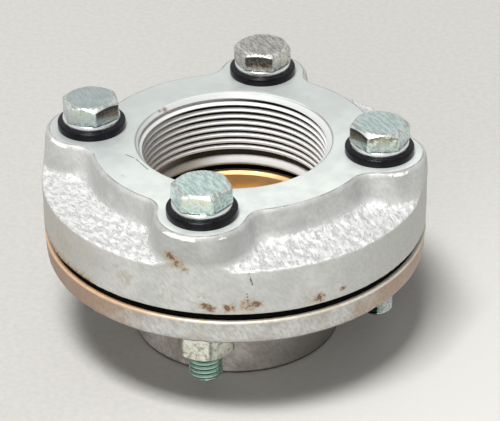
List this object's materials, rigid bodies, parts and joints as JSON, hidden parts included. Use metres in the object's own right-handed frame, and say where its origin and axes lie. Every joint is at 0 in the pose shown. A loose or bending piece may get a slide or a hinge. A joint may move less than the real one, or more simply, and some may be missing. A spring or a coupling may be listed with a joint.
{
  "type": "dielectric flange union",
  "caption": "Flanged dielectric union: a threaded iron flange bolted through insulating sleeves and a rubber gasket to a bronze flange with a solder hub.",
  "frame": {"origin": "centre of the solder hub's end face, on the pipe axis, which is the face the union stands on", "axes": "+Z along the pipe axis from the solder hub to the threaded flange; the four bolts stand on the X and Y axes"},
  "size_m": [0.1174, 0.1174, 0.0739],
  "materials": {
    "zinc_plated_iron": "zinc plated casting, machined on its top face",
    "black_rubber": "matt",
    "cast_bronze": "sand cast, machined on its top face and in its bore",
    "zinc_plated_bolt": "zinc plated with a blue-green tint",
    "zinc_plated_nut": "zinc plated with a pale yellow tint",
    "bright_washer_steel": "bright zinc plate",
    "black_plastic": "moulded, slightly glossy"
  },
  "bodies": {
    "root": {"iron_flange": "zinc_plated_iron", "gasket": "black_rubber", "bronze_flange": "cast_bronze", "bolt_front": "zinc_plated_bolt", "nut_front": "zinc_plated_nut", "insulating_sleeve_front": "black_plastic", "head_washer_front": "bright_washer_steel", "nut_washer_front": "bright_washer_steel", "bolt_right": "zinc_plated_bolt", "nut_right": "zinc_plated_nut", "insulating_sleeve_right": "black_plastic", "head_washer_right": "bright_washer_steel", "nut_washer_right": "bright_washer_steel", "bolt_back": "zinc_plated_bolt", "nut_back": "zinc_plated_nut", "insulating_sleeve_back": "black_plastic", "head_washer_back": "bright_washer_steel", "nut_washer_back": "bright_washer_steel", "bolt_left": "zinc_plated_bolt", "nut_left": "zinc_plated_nut", "insulating_sleeve_left": "black_plastic", "head_washer_left": "bright_washer_steel", "nut_washer_left": "bright_washer_steel"}
  },
  "joints": []
}
